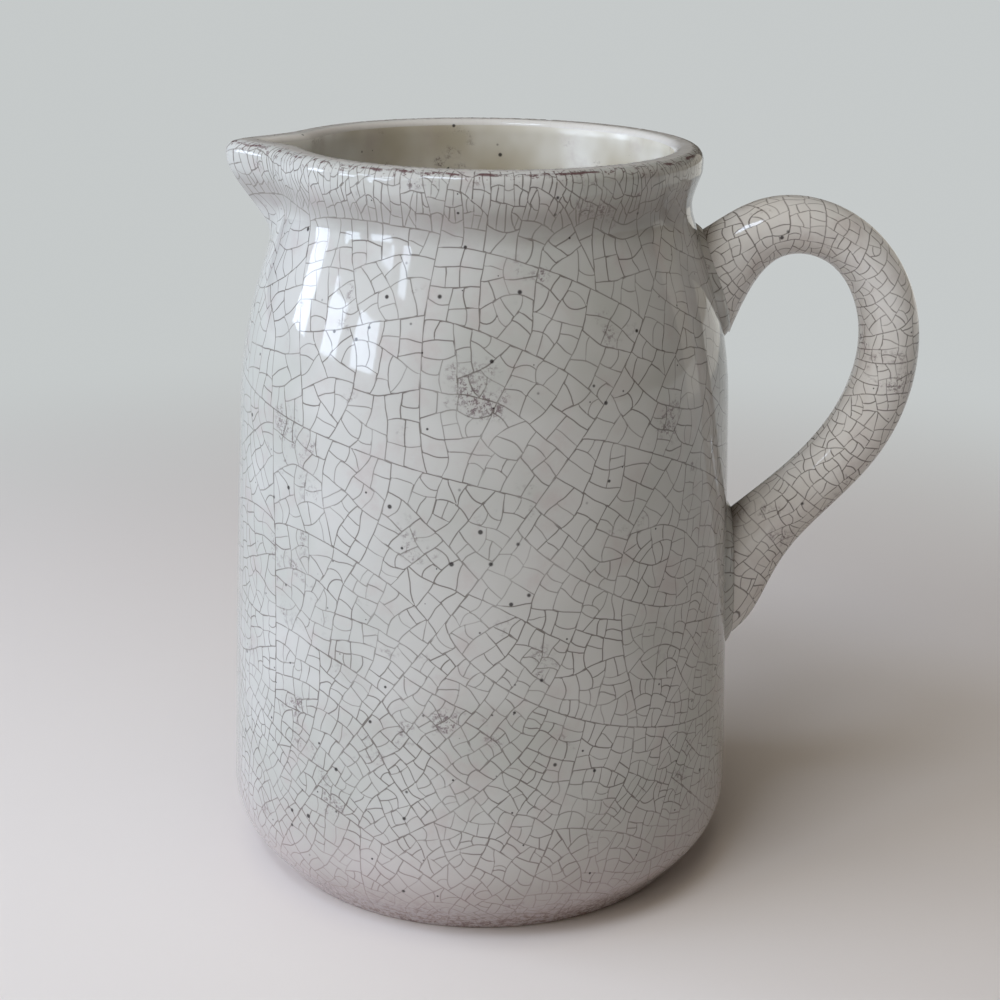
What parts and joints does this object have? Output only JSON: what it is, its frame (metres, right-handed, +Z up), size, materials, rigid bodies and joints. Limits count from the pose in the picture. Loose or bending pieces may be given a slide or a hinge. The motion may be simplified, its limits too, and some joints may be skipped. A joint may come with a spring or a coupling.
{
  "type": "pitcher",
  "caption": "Glazed stoneware pitcher with a rounded conical body, a drawn-in neck, a rolled rim with a short pouring lip and a pulled loop handle luted to the wall",
  "frame": {"origin": "centre of the foot ring on the plane that the pitcher stands on", "axes": "+Z up along the axis of throwing, +X towards the handle, -X towards the pouring lip"},
  "size_m": [0.2362, 0.176, 0.25],
  "materials": {
    "glazed_stoneware": "gloss",
    "glazed_joint": "gloss"
  },
  "bodies": {
    "root": {"vessel_body": "glazed_stoneware", "handle": "glazed_stoneware", "upper_handle_lute": "glazed_joint", "lower_handle_lute": "glazed_joint"}
  },
  "joints": []
}
